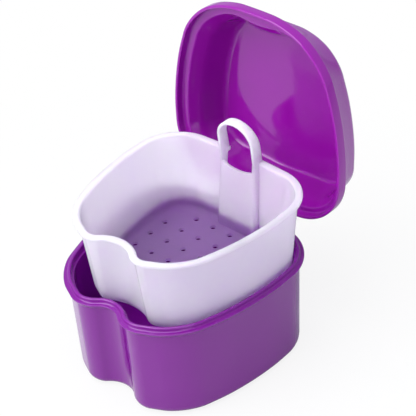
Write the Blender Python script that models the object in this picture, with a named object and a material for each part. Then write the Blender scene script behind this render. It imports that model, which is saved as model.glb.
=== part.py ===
"""Denture case: a tub with a hinged lid and a strainer basket that lifts out by a strap handle.

Metres, +Z up. The origin is the middle of the tub's flat underside, the finger notch looks along -Y
and the hinge runs along X behind the rim. Lid and basket are drawn shut and seated, then the lid is
turned open about its hinge and the basket is lifted along its lift line.
"""

import math

import bmesh
import bpy
from mathutils import Matrix, Vector

# Plan of the rim: a rounded polygon. Places across are shares of the half width and places along are
# shares of the depth; each corner is rounded over a run along both of its edges.
CASE_WIDTH = 0.0896
CASE_DEPTH = 0.0906
REAR_MIDDLE_SHARES = (0.0, 0.496)
REAR_CORNER_SHARES = (0.981, 0.4675)
SIDE_SHARES = (1.0, -0.0185)
FRONT_CORNER_SHARES = (0.756, -0.3875)
FRONT_SHARE = -0.5045
REAR_MIDDLE_RUN = 0.0037
REAR_CORNER_RUN = 0.0216
SIDE_RUN = 0.0172
FRONT_CORNER_RUN = 0.0121
LEAST_RADIUS = 0.0006
RUN_SHARE = 0.995

# Finger notch in the middle of the front, and the tab of the lid that closes over it.
NOTCH_HALF_WIDTH = 0.0116
NOTCH_DEPTH = 0.0099
NOTCH_SHOULDER_RUN = 0.0074
NOTCH_RUN = 0.0073
TAB_HALF_WIDTH = 0.0150
TAB_SETBACK = 0.0014
TAB_CROWN = 0.0006

# Steps in each arc of the plan and of the sections.
REAR_MIDDLE_STEPS = 4
REAR_CORNER_STEPS = 8
SIDE_STEPS = 4
FRONT_CORNER_STEPS = 5
NOTCH_SHOULDER_STEPS = 5
NOTCH_STEPS = 8
FILLET_STEPS = 3
HOLE_SIDES = 10
BAR_SIDES = 20

# Tub. An inset is measured inwards from the outer face of the rim flange.
TUB_WALL_HEIGHT = 0.0431
TUB_WALL_INSET = 0.00205
TUB_DRAFT_SHARE = 0.0245
TUB_WALL = 0.0021
TUB_FLOOR = 0.0022
TUB_FOOT_RADIUS = 0.0042
TUB_INNER_RADIUS = 0.0026
FLANGE_HEIGHT = 0.0025
FLANGE_EDGE = 0.0004
LAND_WIDTH = 0.0018
UPSTAND_HEIGHT = 0.0018
UPSTAND_WIDTH = 0.0014
UPSTAND_ROUND = 0.0005
LEDGE_DROP = 0.0010
LEDGE_WIDTH = 0.0011

# Running clearance between touching pieces, and the room round the basket's lip.
SEAT_GAP = 0.0003
LIP_ROOM = 0.0005

# Basket. Its wall hangs from a flat lip that rests on the tub's ledge.
LIP_THICKNESS = 0.0020
LIP_EDGE = 0.0004
LIP_OVERHANG = 0.0018
BASKET_DEPTH = 0.0365
BASKET_DRAFT_SHARE = 0.1
BASKET_WALL = 0.0013
BASKET_FLOOR = 0.0013
BASKET_FOOT_RADIUS = 0.0034
BASKET_INNER_RADIUS = 0.0022
BASKET_NOTCH_END_SHARE = 0.78

# Drain holes: a square grid in the basket's floor that keeps clear of the wall.
HOLE_DIAMETER = 0.0026
HOLE_PITCH = 0.0094
HOLE_FIRST_ROW = 0.0278
HOLE_COLUMNS = 7
HOLE_ROWS = 7
HOLE_MARGIN = 0.0022

# Pilaster up the basket's back wall: a channel open to the rear, under the strap handle.
PILASTER_HALF_WIDTH = 0.0095
PILASTER_REACH = 0.0034
PILASTER_CORNER = 0.0016
PILASTER_FLARE_SHARE = 0.03
PANEL_DROP = 0.0047
PANEL_DIP = 0.0010
CORNER_STEPS = 4

# Strap handle above the lip, leaning forwards.
HANDLE_HEIGHT = 0.0177
STRAP = 0.0014
STRAP_ROOT = 0.0061
STRAP_LEAN_FRONT = 0.0017
STRAP_LEAN_REAR = 0.0033
STRAP_CHAMFER = 0.0003
ARCH_STEPS = 18

# Where the lifted basket stands in relation to its seat, and how far its foot stays below the lip's seat.
LIFT_RIGHT = 0.0036
LIFT_BACK = 0.0015
LIFTED_FOOT_DEPTH = 0.0063

# Lid: a skirt with the plan of the tub's flange, a shoulder and a dome that leans in at the front.
SKIRT_HEIGHT = 0.0049
SKIRT_WALL = 0.0014
SKIRT_EDGE = 0.0004
LID_WALL = 0.0015
LID_HEIGHT = 0.0238
LID_CROWN = 0.0006
SHOULDER_RISE = 0.0003
DOME_BASE_INSET = 0.0034
DOME_BASE_REAR_INSET = 0.0026
DOME_TOP_INSET = 0.0085
DOME_TOP_REAR_INSET = 0.0044
DOME_ROOT_RADIUS = 0.0010
DOME_TOP_RADIUS = 0.0040
DOME_BOW_SHARES = ((0.0, 0.0), (0.25, 0.29), (0.5, 0.55), (0.75, 0.79), (1.0, 1.0))
DOME_NOTCH_SHARES = (0.55, 0.32, 0.16, 0.07, 0.03)
CROWN_RING_SHARES = (0.72, 0.4)
SKIRT_NOTCH_SHARE = 0.0

# Hinge behind the rim: a bar on three lugs of the tub, and two open clips of the lid round it.
HINGE_SETBACK = 0.0028
HINGE_DROP = 0.0025
OPEN_ANGLE = math.radians(92.0)
BAR_RADIUS = 0.0014
CLIP_WALL = 0.0009
CLIP_START = 0.0062
CLIP_LENGTH = 0.0086
CLIP_MOUTH_START = math.radians(245.0)
CLIP_MOUTH_END = math.radians(325.0)
CLIP_HEEL = math.radians(150.0)
CLIP_BACK = math.radians(48.0)
CLIP_ARM_HEIGHT = 0.0034
CLIP_ARM_LIFT = 0.0004
LUG_RADIUS = 0.0025
LUG_WIDTH = 0.0030
LUG_DEPTH = 0.0046
LUG_TOP_DROP = 0.0006
LUG_ROOT_SHARE = 0.75
SIDE_GAP = 0.0004
ROOT_OVERLAP = 0.0012

# How far a cutter runs past what it cuts.
OVERRUN = 0.004

# Colours, roughness and transmission.
TUB_COLOUR = (0.27, 0.042, 0.34, 1.0)
LID_COLOUR = (0.26, 0.030, 0.34, 1.0)
BASKET_COLOUR = (0.70, 0.63, 0.88, 1.0)
GLOSS_ROUGHNESS = 0.2
FROST_ROUGHNESS = 0.4
FROST_TRANSMISSION = 0.35
SMOOTH_ANGLE = math.radians(32.0)

# Heights and places that follow from the sizes above.
LAND = TUB_WALL_HEIGHT + FLANGE_HEIGHT
TUB_TOP = LAND + UPSTAND_HEIGHT
LEDGE = LAND - LEDGE_DROP
MOUTH_INSET = LAND_WIDTH + UPSTAND_WIDTH
LEDGE_INSET = MOUTH_INSET + LEDGE_WIDTH
LIP_INSET = MOUTH_INSET + LIP_ROOM
BASKET_TOP = LEDGE + SEAT_GAP + LIP_THICKNESS
BASKET_BOTTOM = BASKET_TOP - BASKET_DEPTH
BASKET_WALL_INSET = LIP_INSET + LIP_OVERHANG
LIFT_HEIGHT = BASKET_DEPTH - LIFTED_FOOT_DEPTH
LID_RIM = LAND + SEAT_GAP
LID_TOP = LID_RIM + LID_HEIGHT
REAR = REAR_MIDDLE_SHARES[1] * CASE_DEPTH
HINGE_Y = REAR + HINGE_SETBACK
HINGE_Z = LAND - HINGE_DROP
CLIP_BORE = BAR_RADIUS + SEAT_GAP
CLIP_RADIUS = CLIP_BORE + CLIP_WALL


def clear_scene():
    """Remove whatever the file holds."""
    for item in list(bpy.data.objects):
        bpy.data.objects.remove(item, do_unlink=True)


def plastic(name, colour, roughness, transmission=0.0):
    """A plain moulded plastic."""
    material = bpy.data.materials.new(name)
    material.use_nodes = True
    shader = material.node_tree.nodes["Principled BSDF"]
    shader.inputs["Base Color"].default_value = colour
    shader.inputs["Roughness"].default_value = roughness
    shader.inputs["Metallic"].default_value = 0.0
    shader.inputs["Transmission Weight"].default_value = transmission
    material.diffuse_color = colour
    return material


def mixed(start, end, share):
    """A value part of the way from start to end."""
    return start + (end - start) * share


def outline_corners(notch_share):
    """Corners of the plan, clockwise from the middle of the rear: place, rounding run and steps.

    A notch share of 1 has the whole finger notch, and 0 the straight tab of the lid.
    """
    half_width = CASE_WIDTH / 2
    front = FRONT_SHARE * CASE_DEPTH
    shoulder = mixed(front + TAB_SETBACK, front, notch_share)
    middle = mixed(front + TAB_SETBACK - TAB_CROWN, front + NOTCH_DEPTH, notch_share)
    placed = (
        (REAR_CORNER_SHARES, REAR_CORNER_RUN, REAR_CORNER_STEPS),
        (SIDE_SHARES, SIDE_RUN, SIDE_STEPS),
        (FRONT_CORNER_SHARES, FRONT_CORNER_RUN, FRONT_CORNER_STEPS),
    )
    right = [(Vector((x * half_width, y * CASE_DEPTH)), run, steps) for (x, y), run, steps in placed]
    across = mixed(TAB_HALF_WIDTH, NOTCH_HALF_WIDTH, notch_share)
    right.append((Vector((across, shoulder)), NOTCH_SHOULDER_RUN, NOTCH_SHOULDER_STEPS))
    left = [(Vector((-place.x, place.y)), run, steps) for place, run, steps in reversed(right)]
    rear = (Vector((0.0, REAR)), REAR_MIDDLE_RUN, REAR_MIDDLE_STEPS)
    notch = (Vector((0.0, middle)), NOTCH_RUN, NOTCH_STEPS)
    return [rear, *right, notch, *left]


def inset_corners(corners, inset):
    """Move every edge of the plan inwards by the inset; radii shrink outside and grow in the notch."""
    count = len(corners)
    moved = []
    for index in range(count):
        before = corners[index - 1][0]
        place, run, steps = corners[index]
        after = corners[(index + 1) % count][0]
        arriving = (place - before).normalized()
        leaving = (after - place).normalized()
        first = Vector((arriving.y, -arriving.x))
        second = Vector((leaving.y, -leaving.x))
        mitre = (first + second) / (1.0 + first.dot(second))
        half_angle = (math.pi - arriving.angle(leaving, 0.0)) / 2
        turn = arriving.x * leaving.y - arriving.y * leaving.x
        radius = run * math.tan(half_angle)
        radius = max(radius - inset, LEAST_RADIUS) if turn < 0 else radius + inset
        moved.append([place + mitre * inset, radius / math.tan(half_angle), steps, half_angle])
    lengths = [(moved[(index + 1) % count][0] - moved[index][0]).length for index in range(count)]
    limits = [1.0] * count
    for index, length in enumerate(lengths):
        following = (index + 1) % count
        wanted = moved[index][1] + moved[following][1]
        room = length * RUN_SHARE
        if wanted > room:
            limits[index] = min(limits[index], room / wanted)
            limits[following] = min(limits[following], room / wanted)
    for corner, limit in zip(moved, limits):
        corner[1] *= limit
    return moved


def plan_ring(inset, height, notch_share=1.0, shift=0.0):
    """One closed ring of points of the rounded plan, each corner as an arc that touches both edges."""
    corners = inset_corners(outline_corners(notch_share), inset)
    count = len(corners)
    points = []
    for index in range(count):
        place, run, steps, half_angle = corners[index]
        start = place + (corners[index - 1][0] - place).normalized() * run
        end = place + (corners[(index + 1) % count][0] - place).normalized() * run
        weight = math.sin(half_angle)
        for step in range(steps + 1):
            s = step / steps
            a = (1.0 - s) ** 2
            b = 2.0 * weight * s * (1.0 - s)
            c = s ** 2
            point = (start * a + place * b + end * c) / (a + b + c)
            points.append(Vector((point.x, point.y + shift, height)))
    return points


def loft(name, rings, material):
    """Close a skin through rings of equal count, with a face over each end ring."""
    mesh = bmesh.new()
    rows = [[mesh.verts.new(point) for point in ring] for ring in rings]
    for lower, upper in zip(rows, rows[1:]):
        for index, vert in enumerate(lower):
            following = (index + 1) % len(lower)
            mesh.faces.new((vert, lower[following], upper[following], upper[index]))
    mesh.faces.new(rows[0])
    mesh.faces.new(rows[-1])
    bmesh.ops.recalc_face_normals(mesh, faces=mesh.faces)
    return finished(name, mesh, material)


def finished(name, mesh, material):
    """Turn a bmesh into a smooth-shaded object with its material."""
    data = bpy.data.meshes.new(name)
    mesh.to_mesh(data)
    mesh.free()
    data.shade_smooth()
    data.set_sharp_from_angle(angle=SMOOTH_ANGLE)
    item = bpy.data.objects.new(name, data)
    bpy.context.scene.collection.objects.link(item)
    if material is not None:
        data.materials.append(material)
    return item


def prism(name, profile, start, end, axis, material=None):
    """A closed profile of (u, v) pairs carried along X (u is Y) or along Z (u is X)."""
    mesh = bmesh.new()
    if axis == "X":
        corners = [Vector((start, u, v)) for u, v in profile]
        reach = Vector((end - start, 0.0, 0.0))
    else:
        corners = [Vector((u, v, start)) for u, v in profile]
        reach = Vector((0.0, 0.0, end - start))
    face = mesh.faces.new([mesh.verts.new(corner) for corner in corners])
    raised = bmesh.ops.extrude_face_region(mesh, geom=[face])
    verts = [item for item in raised["geom"] if isinstance(item, bmesh.types.BMVert)]
    bmesh.ops.translate(mesh, vec=reach, verts=verts)
    bmesh.ops.recalc_face_normals(mesh, faces=mesh.faces)
    return finished(name, mesh, material)


def arc(centre, radius, start, end, steps):
    """Points of an arc about a centre (u, v), both ends included."""
    angles = [mixed(start, end, step / steps) for step in range(steps + 1)]
    return [(centre[0] + radius * math.cos(a), centre[1] + radius * math.sin(a)) for a in angles]


def combine(target, other, operation):
    """Apply a boolean with a helper solid and drop the helper."""
    modifier = target.modifiers.new(operation.title(), "BOOLEAN")
    modifier.operation = operation
    modifier.solver = "EXACT"
    modifier.object = other
    graph = bpy.context.evaluated_depsgraph_get()
    result = bpy.data.meshes.new_from_object(target.evaluated_get(graph))
    target.modifiers.remove(modifier)
    old = target.data
    target.data = result
    result.name = target.name
    bpy.data.meshes.remove(old)
    bpy.data.objects.remove(other, do_unlink=True)
    result.shade_smooth()
    result.set_sharp_from_angle(angle=SMOOTH_ANGLE)


def fillet(inner_inset, base, radius):
    """Insets and heights up a quarter round from a flat base to a wall, as (inset, height) pairs."""
    angles = [math.pi / 2 * step / FILLET_STEPS for step in range(FILLET_STEPS + 1)]
    return [
        (inner_inset + radius * (1.0 - math.sin(a)), base + radius * (1.0 - math.cos(a)))
        for a in angles
    ]


def tub_wall_inset(height):
    """Inset of the tub's outer face, which drafts inwards towards the foot."""
    return TUB_WALL_INSET + TUB_DRAFT_SHARE * (TUB_WALL_HEIGHT - height)


def tub_section():
    """Outer skin from the underside up, over the rim, and down the inside, as (inset, height)."""
    foot_inset = tub_wall_inset(TUB_FOOT_RADIUS)
    section = fillet(foot_inset, 0.0, TUB_FOOT_RADIUS)
    section.append((TUB_WALL_INSET, TUB_WALL_HEIGHT))
    section.append((FLANGE_EDGE, TUB_WALL_HEIGHT))
    section.append((0.0, TUB_WALL_HEIGHT + FLANGE_EDGE))
    section.append((0.0, LAND - FLANGE_EDGE))
    section.append((FLANGE_EDGE, LAND))
    section.append((LAND_WIDTH, LAND))
    section.append((LAND_WIDTH + UPSTAND_ROUND / 2, TUB_TOP - UPSTAND_ROUND))
    section.append((LAND_WIDTH + UPSTAND_ROUND, TUB_TOP))
    section.append((MOUTH_INSET - UPSTAND_ROUND / 2, TUB_TOP))
    section.append((MOUTH_INSET, TUB_TOP - UPSTAND_ROUND))
    section.append((MOUTH_INSET, LEDGE))
    section.append((LEDGE_INSET, LEDGE))
    floor_inset = tub_wall_inset(TUB_FLOOR + TUB_INNER_RADIUS) + TUB_WALL
    inner = fillet(floor_inset, TUB_FLOOR, TUB_INNER_RADIUS)
    section.extend(reversed(inner))
    return section


def hinge_profile(radius, first, last, steps):
    """Arc about the hinge line in the YZ plane."""
    return arc((HINGE_Y, HINGE_Z), radius, first, last, steps)


def lug_profile():
    """Side view of a lug: round behind the bar, running forwards into the flange and the wall."""
    quarter = math.pi / 2
    wall_root = REAR - TUB_WALL_INSET - TUB_WALL * LUG_ROOT_SHARE
    profile = hinge_profile(LUG_RADIUS, quarter, -quarter, BAR_SIDES // 2)
    profile.append((REAR - TUB_WALL_INSET, HINGE_Z - LUG_DEPTH))
    profile.append((wall_root, HINGE_Z - LUG_DEPTH))
    profile.append((wall_root, LAND - LUG_TOP_DROP))
    profile.append((REAR, LAND - LUG_TOP_DROP))
    return profile


def clip_end():
    """Place across of the outer end of each clip."""
    return CLIP_START + CLIP_LENGTH


def build_tub(material):
    """The tub with the lugs and bar of the hinge moulded on."""
    tub = loft("base_cup", [plan_ring(inset, height) for inset, height in tub_section()], material)
    lug_start = clip_end() + SIDE_GAP
    bar = prism("bar", hinge_profile(BAR_RADIUS, 0.0, 2 * math.pi, BAR_SIDES)[:-1],
                -lug_start - LUG_WIDTH / 2, lug_start + LUG_WIDTH / 2, "X")
    spans = (
        (-lug_start - LUG_WIDTH, -lug_start),
        (SIDE_GAP - CLIP_START, CLIP_START - SIDE_GAP),
        (lug_start, lug_start + LUG_WIDTH),
    )
    for start, end in spans:
        combine(bar, prism("lug", lug_profile(), start, end, "X"), "UNION")
    combine(tub, bar, "UNION")
    return tub


def basket_wall_inset(drop):
    """Inset of the basket's outer face at a drop below the underside of its lip."""
    return BASKET_WALL_INSET + BASKET_DRAFT_SHARE * drop


def basket_section():
    """Outer skin from the underside up, over the lip, and down the inside, as (inset, height)."""
    lip_base = BASKET_TOP - LIP_THICKNESS
    foot_inset = basket_wall_inset(lip_base - BASKET_BOTTOM - BASKET_FOOT_RADIUS)
    section = fillet(foot_inset, BASKET_BOTTOM, BASKET_FOOT_RADIUS)
    section.append((BASKET_WALL_INSET, lip_base))
    section.append((LIP_INSET + LIP_EDGE, lip_base))
    section.append((LIP_INSET, lip_base + LIP_EDGE))
    section.append((LIP_INSET, BASKET_TOP - LIP_EDGE))
    section.append((LIP_INSET + LIP_EDGE, BASKET_TOP))
    section.append((BASKET_WALL_INSET + BASKET_WALL - LIP_EDGE, BASKET_TOP))
    section.append((BASKET_WALL_INSET + BASKET_WALL, BASKET_TOP - LIP_EDGE))
    section.append((BASKET_WALL_INSET + BASKET_WALL, lip_base))
    floor = BASKET_BOTTOM + BASKET_FLOOR
    floor_inset = basket_wall_inset(lip_base - floor - BASKET_INNER_RADIUS) + BASKET_WALL
    inner = fillet(floor_inset, floor, BASKET_INNER_RADIUS)
    section.extend(reversed(inner))
    return section


def basket_notch_share(height):
    """The notch grows shallower towards the basket's floor."""
    drop = (BASKET_TOP - height) / BASKET_DEPTH
    return mixed(1.0, BASKET_NOTCH_END_SHARE, drop)


def pilaster_front(height):
    """Place along Y of the pilaster's front face, parallel to the drafted wall."""
    drop = BASKET_TOP - LIP_THICKNESS - height
    wall_face = REAR - basket_wall_inset(drop) - BASKET_WALL
    return wall_face - PILASTER_REACH


def pilaster_half_width(height):
    """Half width over the pilaster's cheeks, which spread towards the floor."""
    return PILASTER_HALF_WIDTH + PILASTER_FLARE_SHARE * (BASKET_TOP - height)


def rounded_front(half_width, front, back, corner):
    """Plan of a block with its two front corners rounded, as (x, y) pairs."""
    left = arc((corner - half_width, front + corner), corner, math.pi, 1.5 * math.pi, CORNER_STEPS)
    right = arc((half_width - corner, front + corner), corner, 1.5 * math.pi, 2 * math.pi, CORNER_STEPS)
    return [(-half_width, back), *left, *right, (half_width, back)]


def tapered_block(name, low, high, skin, back_low, back_high):
    """A block up the basket's back wall between two heights, thinner than the pilaster by the skin."""
    rings = []
    for height, back in ((low, back_low), (high, back_high)):
        plan = rounded_front(pilaster_half_width(height) - skin, pilaster_front(height) + skin,
                             back, PILASTER_CORNER - skin / 2)
        rings.append([Vector((x, y, height)) for x, y in plan])
    return loft(name, rings, None)


def strap_section(across, height, outward):
    """Chamfered section of the strap at a point of its arch; outward is the arch's normal in XZ."""
    rise = max(height - BASKET_TOP, 0.0) / HANDLE_HEIGHT
    front = pilaster_front(BASKET_TOP) - STRAP_LEAN_FRONT * rise
    rear = pilaster_front(BASKET_TOP) + STRAP_ROOT - STRAP_LEAN_REAR * rise
    half = STRAP / 2
    cut = STRAP_CHAMFER
    corners = (
        (-half, front + cut), (cut - half, front), (half - cut, front), (half, front + cut),
        (half, rear - cut), (half - cut, rear), (cut - half, rear), (-half, rear - cut),
    )
    return [Vector((across + outward[0] * n, y, height + outward[1] * n)) for n, y in corners]


def build_handle():
    """Strap that leaves the pilaster's cheeks, rises above the lip and closes in an arch."""
    middle_radius = PILASTER_HALF_WIDTH - STRAP / 2
    spring = BASKET_TOP + HANDLE_HEIGHT - STRAP / 2 - middle_radius
    root = BASKET_TOP - LIP_THICKNESS + LIP_EDGE
    rings = [strap_section(middle_radius, root, (1.0, 0.0))]
    for step in range(ARCH_STEPS + 1):
        angle = math.pi * step / ARCH_STEPS
        outward = (math.cos(angle), math.sin(angle))
        across = middle_radius * outward[0]
        rings.append(strap_section(across, spring + middle_radius * outward[1], outward))
    rings.append(strap_section(-middle_radius, root, (-1.0, 0.0)))
    return loft("handle", rings, None)


def window_cutter():
    """Opening under the strap: straight cheeks and a dished lower edge across the panel."""
    half = PILASTER_HALF_WIDTH - STRAP
    sill = BASKET_TOP - PANEL_DROP
    top = BASKET_TOP + SEAT_GAP
    steps = ARCH_STEPS // 2
    xs = [mixed(-half, half, step / steps) for step in range(steps + 1)]
    profile = [(x, sill - PANEL_DIP * (1.0 - (x / half) ** 2)) for x in xs]
    profile.extend(((half, top), (-half, top)))
    low = pilaster_front(sill) - OVERRUN
    cutter = prism("window", profile, low, REAR, "Z")
    cutter.data.transform(Matrix(((1, 0, 0, 0), (0, 0, 1, 0), (0, 1, 0, 0), (0, 0, 0, 1))))
    flip = bmesh.new()
    flip.from_mesh(cutter.data)
    bmesh.ops.recalc_face_normals(flip, faces=flip.faces)
    flip.to_mesh(cutter.data)
    flip.free()
    return cutter


def inside_ring(x, y, ring, margin):
    """Whether a place lies inside a ring of points with a margin to its edges."""
    inside = False
    for index, end in enumerate(ring):
        start = ring[index - 1]
        edge = Vector((end.x - start.x, end.y - start.y))
        offset = Vector((x - start.x, y - start.y))
        if edge.length > 0:
            along = min(max(offset.dot(edge) / edge.length_squared, 0.0), 1.0)
            if (offset - edge * along).length < margin:
                return False
        if (start.y > y) != (end.y > y) and x < start.x + edge.x * (y - start.y) / edge.y:
            inside = not inside
    return inside


def hole_places():
    """Grid of drain holes that fits on the flat of the floor, clear of the pilaster."""
    floor = BASKET_BOTTOM + BASKET_FLOOR
    inset, height = basket_section()[-1]
    edge = plan_ring(inset, height, basket_notch_share(height))
    clear = HOLE_DIAMETER / 2 + HOLE_MARGIN
    places = []
    for row in range(HOLE_ROWS):
        y = HOLE_FIRST_ROW - HOLE_PITCH * row
        for column in range(HOLE_COLUMNS):
            x = HOLE_PITCH * (column - (HOLE_COLUMNS - 1) / 2)
            under_pilaster = abs(x) < pilaster_half_width(floor) + clear and y > pilaster_front(floor) - clear
            if inside_ring(x, y, edge, clear - HOLE_MARGIN / 2) and not under_pilaster:
                places.append((x, y))
    return places


def build_basket(material):
    """The strainer basket, seated: shell, pilaster with its channel, strap handle and drain holes."""
    rings = [plan_ring(inset, height, basket_notch_share(height)) for inset, height in basket_section()]
    basket = loft("strainer_basket", rings, material)
    floor = BASKET_BOTTOM + BASKET_FLOOR / 2
    drop = BASKET_TOP - LIP_THICKNESS - floor
    block = tapered_block("pilaster", floor, BASKET_TOP - LIP_EDGE, 0.0,
                          REAR - basket_wall_inset(drop) - BASKET_WALL / 2,
                          REAR - BASKET_WALL_INSET - BASKET_WALL / 2)
    combine(basket, block, "UNION")
    combine(basket, build_handle(), "UNION")
    channel = tapered_block("channel", BASKET_BOTTOM - OVERRUN, BASKET_TOP + SEAT_GAP, BASKET_WALL, REAR, REAR)
    combine(basket, channel, "DIFFERENCE")
    combine(basket, window_cutter(), "DIFFERENCE")
    for x, y in hole_places():
        circle = arc((x, y), HOLE_DIAMETER / 2, 0.0, 2 * math.pi, HOLE_SIDES)[:-1]
        hole = prism("hole", circle, BASKET_BOTTOM - OVERRUN, BASKET_BOTTOM + OVERRUN, "Z")
        combine(basket, hole, "DIFFERENCE")
    return basket


def dome_rings(skin):
    """Rings up one skin of the dome; the skin is 0 outside and the wall inside."""
    base = LID_RIM + SKIRT_HEIGHT + SHOULDER_RISE + DOME_ROOT_RADIUS - skin
    top = LID_TOP - LID_CROWN - DOME_TOP_RADIUS
    rings = []
    for (rise, lean), notch_share in zip(DOME_BOW_SHARES, DOME_NOTCH_SHARES):
        inset = mixed(DOME_BASE_INSET, DOME_TOP_INSET, lean)
        rear_inset = mixed(DOME_BASE_REAR_INSET, DOME_TOP_REAR_INSET, lean)
        height = mixed(base, top, rise)
        rings.append(plan_ring(inset + skin, height, notch_share, inset - rear_inset))
    radius = DOME_TOP_RADIUS - skin
    shift = DOME_TOP_INSET - DOME_TOP_REAR_INSET
    for step in range(1, FILLET_STEPS + 1):
        angle = math.pi / 2 * step / FILLET_STEPS
        inset = DOME_TOP_INSET + skin + radius * (1.0 - math.cos(angle))
        height = top + radius * math.sin(angle)
        rings.append(plan_ring(inset, height, DOME_NOTCH_SHARES[-1], shift))
    edge = rings[-1]
    middle = sum(edge, Vector()) / len(edge)
    for share in CROWN_RING_SHARES:
        crown = LID_CROWN * (1.0 - share ** 2)
        rings.append([middle + (point - middle) * share + Vector((0.0, 0.0, crown)) for point in edge])
    return rings


def build_lid(material):
    """The lid, shut: skirt, shoulder and dome in one even wall, with the two hinge clips."""
    shoulder = LID_RIM + SKIRT_HEIGHT
    base_shift = DOME_BASE_INSET - DOME_BASE_REAR_INSET
    skirt_outer = (
        (SKIRT_EDGE, LID_RIM), (0.0, LID_RIM + SKIRT_EDGE),
        (0.0, shoulder - SKIRT_EDGE), (SKIRT_EDGE, shoulder),
    )
    outer = [plan_ring(inset, height, SKIRT_NOTCH_SHARE) for inset, height in skirt_outer]
    outer.append(plan_ring(DOME_BASE_INSET - DOME_ROOT_RADIUS, shoulder + SHOULDER_RISE,
                           DOME_NOTCH_SHARES[0], base_shift))
    outer.extend(dome_rings(0.0))
    under = shoulder - LID_WALL
    inner = [
        plan_ring(SKIRT_WALL, LID_RIM, SKIRT_NOTCH_SHARE),
        plan_ring(SKIRT_WALL, under, SKIRT_NOTCH_SHARE),
        plan_ring(DOME_BASE_INSET - DOME_ROOT_RADIUS + LID_WALL, under + SHOULDER_RISE,
                  DOME_NOTCH_SHARES[0], base_shift),
    ]
    inner.extend(dome_rings(LID_WALL))
    rings = [*reversed(outer), *inner]
    lid = loft("lid", rings, material)
    for side in (-1.0, 1.0):
        ends = sorted((side * CLIP_START, side * clip_end()))
        combine(lid, prism("clip", clip_profile(), ends[0], ends[1], "X"), "UNION")
    return lid


def clip_profile():
    """Side view of a clip: a C round the bar with an arm that rises into the skirt."""
    heel = hinge_profile(CLIP_RADIUS, CLIP_HEEL, CLIP_MOUTH_START, BAR_SIDES // 4)
    bore = hinge_profile(CLIP_BORE, CLIP_MOUTH_START, CLIP_MOUTH_END - 2 * math.pi, BAR_SIDES)
    back = hinge_profile(CLIP_RADIUS, CLIP_MOUTH_END - 2 * math.pi, CLIP_BACK, BAR_SIDES // 4)
    root = REAR - ROOT_OVERLAP
    foot = LID_RIM + CLIP_ARM_LIFT
    arm = [(REAR, foot + CLIP_ARM_HEIGHT), (root, foot + CLIP_ARM_HEIGHT), (root, foot), (REAR, foot)]
    return [*heel, *bore, *back, *arm]


def joint_empty(name, place):
    """An empty that carries a moving piece."""
    empty = bpy.data.objects.new(name, None)
    empty.location = place
    bpy.context.scene.collection.objects.link(empty)
    return empty


def hang(item, empty):
    """Parent a piece that is modelled in place to an empty, leaving it where it is."""
    item.parent = empty
    item.matrix_parent_inverse = Matrix.Translation(-empty.location)


def main():
    """Build the three mouldings and set the case open, with the basket lifted."""
    clear_scene()
    build_tub(plastic("purple_tub_plastic", TUB_COLOUR, GLOSS_ROUGHNESS))
    lid = build_lid(plastic("purple_lid_plastic", LID_COLOUR, GLOSS_ROUGHNESS))
    basket = build_basket(plastic("frosted_plastic", BASKET_COLOUR, FROST_ROUGHNESS, FROST_TRANSMISSION))
    hinge = joint_empty("lid_hinge", Vector((0.0, HINGE_Y, HINGE_Z)))
    hang(lid, hinge)
    hinge.rotation_euler = (-OPEN_ANGLE, 0.0, 0.0)
    lift = joint_empty("basket_lift", Vector((0.0, 0.0, BASKET_TOP)))
    hang(basket, lift)
    lift.location = Vector((LIFT_RIGHT, LIFT_BACK, BASKET_TOP + LIFT_HEIGHT))


main()
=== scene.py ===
import math

import bmesh
import bpy
from mathutils import Matrix, Vector


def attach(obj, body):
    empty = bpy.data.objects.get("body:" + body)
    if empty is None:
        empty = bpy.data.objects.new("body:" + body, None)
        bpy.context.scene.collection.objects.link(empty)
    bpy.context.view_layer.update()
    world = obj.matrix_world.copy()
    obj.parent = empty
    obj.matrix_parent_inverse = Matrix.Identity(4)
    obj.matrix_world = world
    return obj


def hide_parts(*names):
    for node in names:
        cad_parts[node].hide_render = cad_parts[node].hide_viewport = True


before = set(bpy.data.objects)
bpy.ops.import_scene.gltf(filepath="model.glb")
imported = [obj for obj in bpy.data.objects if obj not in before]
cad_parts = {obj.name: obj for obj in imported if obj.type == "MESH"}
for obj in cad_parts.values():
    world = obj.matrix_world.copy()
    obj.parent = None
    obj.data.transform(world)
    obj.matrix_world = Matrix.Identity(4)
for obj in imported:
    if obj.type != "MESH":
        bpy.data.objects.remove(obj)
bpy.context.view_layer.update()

# Denture case: purple tub with a finger notch, frosted strainer basket lifted on its strap handle,
# and a domed lid thrown back on its hinge. Sizes are in metres and are those of the model.

# Plan of the rim as a rounded polygon
CASE_WIDTH = 0.0896
CASE_DEPTH = 0.0906
REAR_MIDDLE_SHARE = 0.496
REAR_CORNER_SHARES = (0.981, 0.4675)
SIDE_SHARES = (1.0, -0.0185)
FRONT_CORNER_SHARES = (0.756, -0.3875)
FRONT_SHARE = -0.5045
REAR_MIDDLE_RUN = 0.0037
REAR_CORNER_RUN = 0.0216
SIDE_RUN = 0.0172
FRONT_CORNER_RUN = 0.0121
NOTCH_HALF_WIDTH = 0.0116
NOTCH_DEPTH = 0.0099
NOTCH_SHOULDER_RUN = 0.0074
NOTCH_RUN = 0.0073
TAB_HALF_WIDTH = 0.0150
TAB_SETBACK = 0.0014
TAB_CROWN = 0.0006
LEAST_RADIUS = 0.0006
RUN_LIMIT = 0.995

# Segments round each corner of the plan
REAR_MIDDLE_SEGMENTS = 6
REAR_CORNER_SEGMENTS = 22
SIDE_SEGMENTS = 12
FRONT_CORNER_SEGMENTS = 14
NOTCH_SHOULDER_SEGMENTS = 14
NOTCH_SEGMENTS = 20

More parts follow.
